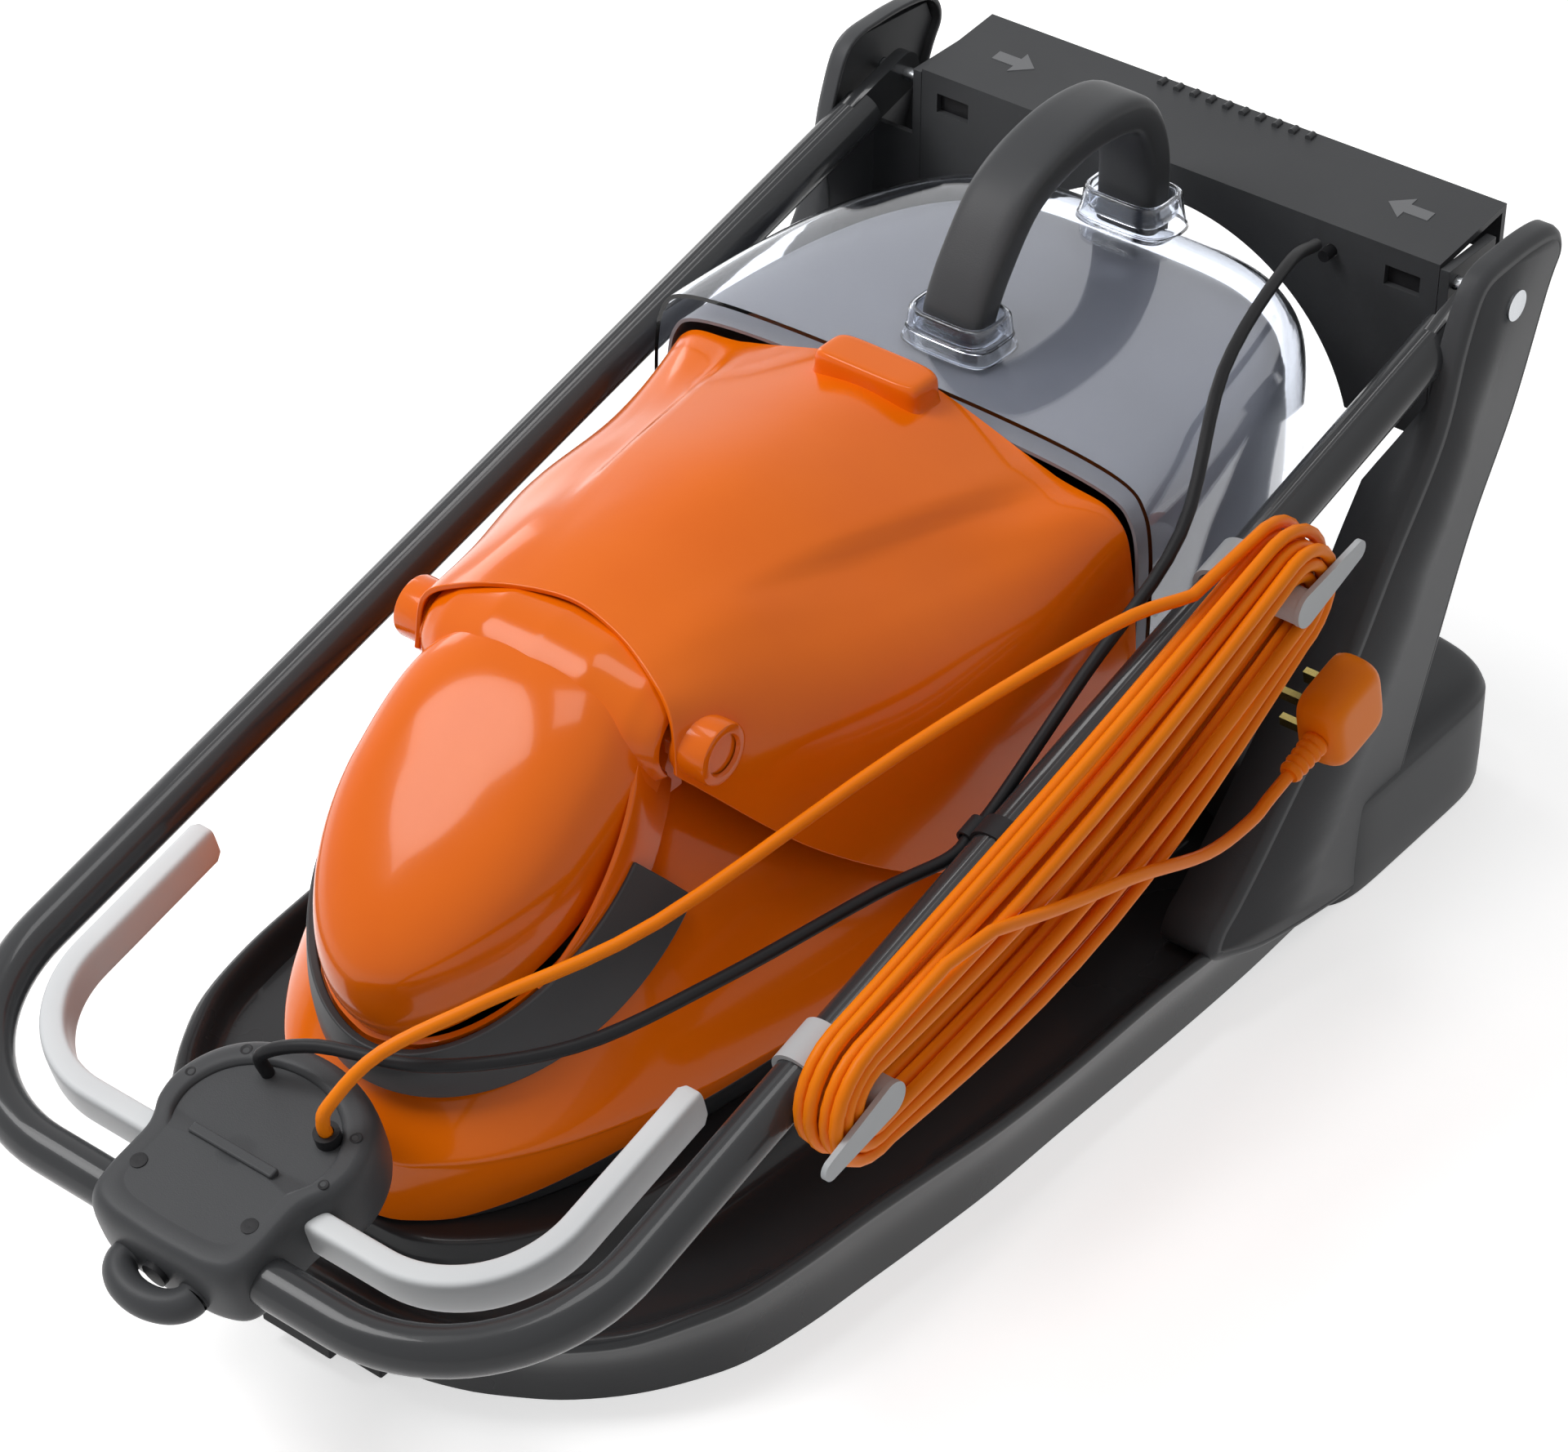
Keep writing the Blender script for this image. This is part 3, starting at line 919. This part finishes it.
def make_carry_handle():
    """Carry handle: a squared bar along its arch, in clear squared sockets."""
    sockets = []
    for place in (GRIP_FRONT, GRIP_REAR):
        rings = oval_rings(SOCKET_RINGS, SOCKET_HALF, SOCKET_DEPTH, SOCKET_SQUARE, 48)
        rings += np.array([0, place, SOCKET_BASE])
        sockets.append(grid_mesh("socket", spline(rings, 3), closed=True, inside=(0, place, GRIP_BASE)))
    add_piece(join(sockets, "carry_sockets"), "lid", "clear_polycarbonate", "clear_plastic",
              wall=SOCKET_WALL, angle=50)
    span, rise = np.array(GRIP_SHARES).T
    y = GRIP_FRONT + (GRIP_REAR - GRIP_FRONT) * span
    path = spline(np.stack([np.zeros_like(y), y, GRIP_BASE + size("grip_rise") * rise], -1), 6)
    up = np.cross(directions(path), [1, 0, 0])
    side = np.broadcast_to([-1.0, 0, 0], path.shape)
    grip = bar_grid(path, side, up, size("grip_half"), size("grip_thick"), GRIP_SQUARE, 40)
    mesh = grid_mesh("carry_grip", grip, closed=True, caps=True)
    grey_piece(mesh, "lid", ("carry_handle",), bevel=GRIP_EDGE, angle=60)


def make_yoke():
    """Grass bin, crossbar and side arms with rounded edges, and the dark backs of the crossbar's slots."""
    rounded_copy("grass_bin", "deck", "grey_abs", "grey_plastic", BIN_EDGE)
    for node in ("carry_beam", "left_side_arm", "right_side_arm"):
        rounded_copy(node, "deck", "grey_abs", "grey_plastic", ARM_EDGE)
    backs = []
    for side in (-1, 1):
        inner, outer = side * SLOT_INNER, side * SLOT_OUTER
        plate = [(inner, SLOT_LOW), (outer, SLOT_LOW), (outer, SLOT_HIGH), (inner, SLOT_HIGH)]
        backs.append(prism("back", plate, 1, SLOT_FRONT, SLOT_BACK))
    add_piece(join(backs, "slot_backs"), "deck", "black_abs", "black_plastic", angle=30)


def make_arm_fins():
    """Outer faces of the side arms: the outline stepped inward with a round fall, round one flat face."""
    outline = spline(ARM_OUTLINE, 6, closed=True)
    inward = np.stack([-np.gradient(outline[:, 1]), np.gradient(outline[:, 0])], -1)
    inward /= np.linalg.norm(inward, axis=1)[:, None]
    if ((outline.mean(0) - outline) * inward).sum() < 0:
        inward = -inward
    depth = FIN_DEPTH * np.clip((FIN_TOP - outline[:, 1]) / FIN_FADE, FIN_SHALLOW_SHARE, 1)
    for side, name in ((1, "right_arm_fin"), (-1, "left_arm_fin")):
        rows = []
        for offset, fall in FIN_RINGS:
            line = outline + offset * inward
            rows.append(np.insert(line, 0, side * (FIN_SIDE - fall), axis=1))
        rows.append(np.column_stack([side * (FIN_WALL_SIDE - depth), outline]))
        edge = grid_mesh("fin_edge", np.array(rows), closed=True, inside=FIN_INSIDE * np.array([side, 1, 1]))
        face = bpy.data.meshes.new("fin_face")
        face.from_pydata((rows[0] * MM).tolist(), [], [list(range(len(outline)))])
        face.update()
        if face.polygons[0].normal.x * side < 0:
            face.flip_normals()
        grey_piece(join([edge, face], name), "deck", wall=size("fin_wall"), angle=50)


def make_arrows():
    """Plain arrows on the crossbar: two thin plates on its slope, which point at each other."""
    arrows = []
    for side in (-1, 1):
        x = side * ARROW_X - side * np.array(ARROW)[:, 0]
        y = ARROW_Y + np.array(ARROW)[:, 1]
        slope = BAR_HEIGHT + (y - BAR_FRONT) * BAR_RISE / BAR_DEPTH
        rows = [np.stack([x, y, slope + lift], -1) for lift in ARROW_LEVELS]
        arrows.append(grid_mesh("arrow", np.array(rows), closed=True, caps=True))
    add_piece(join(arrows, "crossbar_arrows"), "deck", "arrow_print", "black_plastic", angle=30)


def make_tube():
    """Handle tube, as the CAD has it, with its faces smooth."""
    rounded_copy("handle_tube", "handle", "painted_steel_tube", "tube_paint", 0.0)


def make_switch_box():
    """Switch box: its outline shrunk and raised ring by ring, with recessed face, clip, lug and wells."""
    right = np.array(BOX_OUTLINE, float)
    left = right[-2:0:-1] * MIRROR[:2]
    outline = spline(np.concatenate([right, left]), 6, closed=True)
    centre = np.array([0, BOX_CENTRE])
    front = np.clip((outline[:, 1] - BOX_STEP_START) / BOX_STEP_LENGTH, 0, 1)
    rows = []
    for share, height, dip in BOX_RINGS:
        line = centre + share * (outline - centre)
        rows.append(np.column_stack([line, height - dip * (1 - front)]))
    mesh = grid_mesh("switch_box_shell", folded(spline(np.array(rows), 2)), closed=True, caps=True)
    grey_piece(mesh, "handle", ("switch_box_rear", "switch_box_front"), angle=60)

    a = np.linspace(0, 2 * math.pi, 65)
    ring = np.stack([BOX_LUG_HALF * np.cos(a), BOX_LUG_DEPTH * np.sin(a), np.zeros_like(a)], -1)
    ring += np.array(BOX_LUG_PLACE)
    mesh = grid_mesh("box_lug", tube_grid(folded(ring), BOX_LUG_RADIUS, 20), closed=True,
                     inside=folded((0, BOX_CENTRE, 0)))
    grey_piece(mesh, "handle", angle=60)
    rows = [folded(np.insert(np.array(SEAM_CLIP, float), 2, height, axis=1)) for height in SEAM_CLIP_LEVELS]
    mesh = grid_mesh("seam_clip", np.array(rows), closed=True, caps=True)
    grey_piece(mesh, "handle", bevel=SEAM_CLIP_EDGE)
    wells = []
    for x, along, top, radius in WELLS:
        disc = oval_rings(WELL_RINGS, radius, radius, (1, 1), 24) + np.array([x, along, top])
        wells.append(grid_mesh("well", folded(disc), closed=True, caps=True))
    add_piece(join(wells, "box_wells"), "handle", "black_abs", "black_plastic", ("box_screws", "lever_pins"),
              angle=30)


def make_levers():
    """Levers: a squared bar from the box along the inside of the bend, then straight to its tip."""
    turn = np.radians(np.linspace(0, 90, 25))
    arc = np.array(LEVER_BEND) + LEVER_RADIUS * np.stack([np.sin(turn), np.cos(turn)], -1)
    line = np.concatenate([LEVER_START, arc, LEVER_END])
    path = np.column_stack([line, np.zeros(len(line))])
    swell = np.ones((len(path), 1))
    swell[-1] = LEVER_TIP_SHARE
    side = np.cross(directions(path), [0, 0, 1]) * swell
    up = np.array([0, 0, 1]) * swell
    shape = bar_grid(path, side, up, size("lever_half"), size("lever_tall"), LEVER_SQUARE, 32)
    for mirror, name in ((1, "right_lever"), (-1, "left_lever")):
        mesh = grid_mesh(name + "_moulded", folded(shape * np.array([mirror, 1, 1])), closed=True, caps=True)
        add_piece(mesh, name, "pale_abs", "pale_plastic", (name,), angle=50)


def make_hooks():
    """Cable hooks and the clip of the motor lead, with rounded edges."""
    for node in ("hook_upper", "hook_lower"):
        rounded_copy(node, "handle", "hook_abs", "pale_plastic", HOOK_EDGE)
    rounded_copy("lead_clip", "handle", "black_abs", "black_plastic", LEAD_CLIP_EDGE)


def finish_nodes():
    """Gives the CAD nodes that stay their finishes."""
    finishes = {"mains_grommet": "black_pvc", "lock_button": "black_abs", "micro_switch": "black_abs",
                "fan": "black_abs", "plug_pins": "plated_brass"}
    for name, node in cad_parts.items():
        node.data.materials.clear()
        node.data.materials.append(bpy.data.materials[finishes.get(name, "bright_steel")])


def seen_rays(tree, strength):
    """Strength for what the camera, a gloss or glass sees, and none for the light on the mower."""
    ray = add_node(tree, "ShaderNodeLightPath")
    seen = add_node(tree, "ShaderNodeMath",
                    links={0: ray.outputs["Is Camera Ray"], 1: ray.outputs["Is Glossy Ray"]})
    glass = add_node(tree, "ShaderNodeMath",
                     links={0: seen.outputs[0], 1: ray.outputs["Is Transmission Ray"]})
    shown = add_node(tree, "ShaderNodeMath", {1: strength}, {0: glass.outputs[0]})
    shown.operation = "MULTIPLY"
    shown.use_clamp = True
    return shown


def make_stage():
    """Plain pale floor, soft lamps and a pale surround."""
    studio = bpy.context.scene.mower_studio
    bpy.ops.mesh.primitive_plane_add(size=FLOOR_SIZE)
    floor = bpy.context.object
    floor.name = "stage_floor"
    # Matt painted board: nearly white, and it keeps the mower's shadow
    tree, shader = moulded("pale_floor", (0.6, 0.7), 0.02, 16.7)
    floor.data.materials.append(bpy.data.materials["pale_floor"])
    shader.inputs["Emission Color"].default_value = (1, 1, 1, 1)
    shown = seen_rays(tree, studio.floor_seen)
    tree.links.new(shown.outputs[0], shader.inputs["Emission Strength"])
    world = bpy.data.worlds.new("studio")
    bpy.context.scene.world = world
    world.use_nodes = True
    tree = world.node_tree
    background = tree.nodes["Background"]
    background.inputs["Color"].default_value = (1, 1, 1, 1)
    shown = seen_rays(tree, studio.surround_seen)
    whole = add_node(tree, "ShaderNodeMath", {1: studio.surround}, {0: shown.outputs[0]})
    tree.links.new(whole.outputs[0], background.inputs["Strength"])
    for name, (place, width) in LAMPS.items():
        data = bpy.data.lights.new(name, "AREA")
        data.energy = getattr(studio, name)
        data.size = width
        lamp = bpy.data.objects.new(name, data)
        bpy.context.scene.collection.objects.link(lamp)
        lamp.location = place
        aim(lamp, LAMP_AIM)
    bpy.context.scene.view_settings.view_transform = "Standard"


class MOWER_OT_finishes(bpy.types.Operator):
    """Make the materials"""
    bl_idname = "mower.finishes"
    bl_label = "Materials"

    def execute(self, context):
        make_finishes()
        return {"FINISHED"}


class MOWER_OT_camera(bpy.types.Operator):
    """Make the camera of the photograph"""
    bl_idname = "mower.camera"
    bl_label = "Camera"

    def execute(self, context):
        make_camera()
        return {"FINISHED"}


class MOWER_OT_mains_cord(bpy.types.Operator):
    """Make the mains cord with its hank and plug"""
    bl_idname = "mower.mains_cord"
    bl_label = "Mains cord"

    def execute(self, context):
        make_mains_cord()
        return {"FINISHED"}


class MOWER_OT_motor_lead(bpy.types.Operator):
    """Make the two runs of the motor lead"""
    bl_idname = "mower.motor_lead"
    bl_label = "Motor lead"

    def execute(self, context):
        make_motor_lead()
        return {"FINISHED"}


class MOWER_OT_deck(bpy.types.Operator):
    """Make the hover deck"""
    bl_idname = "mower.deck"
    bl_label = "Deck"

    def execute(self, context):
        make_deck()
        return {"FINISHED"}


class MOWER_OT_rear_block(bpy.types.Operator):
    """Make the rear block and the rest bracket at the nose"""
    bl_idname = "mower.rear_block"
    bl_label = "Rear block and foot"

    def execute(self, context):
        make_rear_block()
        return {"FINISHED"}


class MOWER_OT_hood(bpy.types.Operator):
    """Make the lower hood and its grey shroud"""
    bl_idname = "mower.hood"
    bl_label = "Lower hood"

    def execute(self, context):
        make_hood()
        return {"FINISHED"}


class MOWER_OT_motor_cover(bpy.types.Operator):
    """Make the motor cover"""
    bl_idname = "mower.motor_cover"
    bl_label = "Motor cover"

    def execute(self, context):
        make_motor_cover()
        return {"FINISHED"}


class MOWER_OT_collar(bpy.types.Operator):
    """Make the rim and the collar round the motor cover"""
    bl_idname = "mower.collar"
    bl_label = "Rim and collar"

    def execute(self, context):
        make_collar()
        return {"FINISHED"}


class MOWER_OT_hinge(bpy.types.Operator):
    """Make the hinge pins and the barrel of the hinge"""
    bl_idname = "mower.hinge"
    bl_label = "Hinge"

    def execute(self, context):
        make_hinge()
        return {"FINISHED"}


class MOWER_OT_lid(bpy.types.Operator):
    """Make the orange lid"""
    bl_idname = "mower.lid"
    bl_label = "Lid"

    def execute(self, context):
        make_lid()
        return {"FINISHED"}


class MOWER_OT_lid_lugs(bpy.types.Operator):
    """Make the lid's lugs, bosses and finger tab"""
    bl_idname = "mower.lid_lugs"
    bl_label = "Lid lugs and tab"

    def execute(self, context):
        make_lid_lugs()
        return {"FINISHED"}


class MOWER_OT_dome(bpy.types.Operator):
    """Make the clear dome and its liner"""
    bl_idname = "mower.dome"
    bl_label = "Clear dome"

    def execute(self, context):
        make_dome()
        return {"FINISHED"}


class MOWER_OT_carry_handle(bpy.types.Operator):
    """Make the carry handle and its sockets"""
    bl_idname = "mower.carry_handle"
    bl_label = "Carry handle"

    def execute(self, context):
        make_carry_handle()
        return {"FINISHED"}


class MOWER_OT_yoke(bpy.types.Operator):
    """Make the bin, crossbar and side arms"""
    bl_idname = "mower.yoke"
    bl_label = "Yoke"

    def execute(self, context):
        make_yoke()
        return {"FINISHED"}


class MOWER_OT_arm_fins(bpy.types.Operator):
    """Make the rounded faces of the side arms"""
    bl_idname = "mower.arm_fins"
    bl_label = "Arm faces"

    def execute(self, context):
        make_arm_fins()
        return {"FINISHED"}


class MOWER_OT_arrows(bpy.types.Operator):
    """Make the arrows on the crossbar"""
    bl_idname = "mower.arrows"
    bl_label = "Arrows"

    def execute(self, context):
        make_arrows()
        return {"FINISHED"}


class MOWER_OT_tube(bpy.types.Operator):
    """Make the handle tube"""
    bl_idname = "mower.tube"
    bl_label = "Handle tube"

    def execute(self, context):
        make_tube()
        return {"FINISHED"}


class MOWER_OT_switch_box(bpy.types.Operator):
    """Make the switch box"""
    bl_idname = "mower.switch_box"
    bl_label = "Switch box"

    def execute(self, context):
        make_switch_box()
        return {"FINISHED"}


class MOWER_OT_levers(bpy.types.Operator):
    """Make the two levers"""
    bl_idname = "mower.levers"
    bl_label = "Levers"

    def execute(self, context):
        make_levers()
        return {"FINISHED"}


class MOWER_OT_hooks(bpy.types.Operator):
    """Make the cable hooks and the lead clip"""
    bl_idname = "mower.hooks"
    bl_label = "Hooks and clip"

    def execute(self, context):
        make_hooks()
        return {"FINISHED"}


class MOWER_OT_carried_nodes(bpy.types.Operator):
    """Finish the CAD nodes that stay"""
    bl_idname = "mower.carried_nodes"
    bl_label = "Carried nodes"

    def execute(self, context):
        finish_nodes()
        return {"FINISHED"}


class MOWER_OT_stage(bpy.types.Operator):
    """Make the floor and the light"""
    bl_idname = "mower.stage"
    bl_label = "Stage"

    def execute(self, context):
        make_stage()
        return {"FINISHED"}


OPERATORS = [MOWER_OT_finishes, MOWER_OT_camera, MOWER_OT_mains_cord, MOWER_OT_motor_lead, MOWER_OT_deck,
             MOWER_OT_rear_block, MOWER_OT_hood, MOWER_OT_motor_cover, MOWER_OT_collar, MOWER_OT_hinge,
             MOWER_OT_lid, MOWER_OT_lid_lugs, MOWER_OT_dome, MOWER_OT_carry_handle, MOWER_OT_yoke,
             MOWER_OT_arm_fins, MOWER_OT_arrows, MOWER_OT_tube, MOWER_OT_switch_box, MOWER_OT_levers,
             MOWER_OT_hooks, MOWER_OT_carried_nodes, MOWER_OT_stage]


class MOWER_PT_panel(bpy.types.Panel):
    """Settings of the mower, and the buttons that build it step by step"""
    bl_idname = "MOWER_PT_panel"
    bl_label = "Hover mower"
    bl_space_type = "VIEW_3D"
    bl_region_type = "UI"
    bl_category = "Mower"

    def draw(self, context):
        for operator in OPERATORS:
            self.layout.operator(operator.bl_idname)
        scene = context.scene
        for group in (scene.mower_sizes, scene.mower_colours, scene.mower_studio):
            for name in type(group).__annotations__:
                self.layout.prop(group, name)


CLASSES = [MowerSizes, MowerColours, MowerStudio] + OPERATORS + [MOWER_PT_panel]


def register():
    """Adds the classes and the settings."""
    for item in CLASSES:
        bpy.utils.register_class(item)
    bpy.types.Scene.mower_sizes = bpy.props.PointerProperty(type=MowerSizes)
    bpy.types.Scene.mower_colours = bpy.props.PointerProperty(type=MowerColours)
    bpy.types.Scene.mower_studio = bpy.props.PointerProperty(type=MowerStudio)


def unregister():
    """Takes the classes and the settings away."""
    del bpy.types.Scene.mower_studio
    del bpy.types.Scene.mower_colours
    del bpy.types.Scene.mower_sizes
    for item in reversed(CLASSES):
        bpy.utils.unregister_class(item)


def main():
    """Builds every step in order."""
    register()
    bpy.ops.mower.finishes()
    bpy.ops.mower.camera()
    bpy.ops.mower.mains_cord()
    bpy.ops.mower.motor_lead()
    bpy.ops.mower.deck()
    bpy.ops.mower.rear_block()
    bpy.ops.mower.hood()
    bpy.ops.mower.motor_cover()
    bpy.ops.mower.collar()
    bpy.ops.mower.hinge()
    bpy.ops.mower.lid()
    bpy.ops.mower.lid_lugs()
    bpy.ops.mower.dome()
    bpy.ops.mower.carry_handle()
    bpy.ops.mower.yoke()
    bpy.ops.mower.arm_fins()
    bpy.ops.mower.arrows()
    bpy.ops.mower.tube()
    bpy.ops.mower.switch_box()
    bpy.ops.mower.levers()
    bpy.ops.mower.hooks()
    bpy.ops.mower.carried_nodes()
    bpy.ops.mower.stage()


if __name__ == "__main__":
    main()
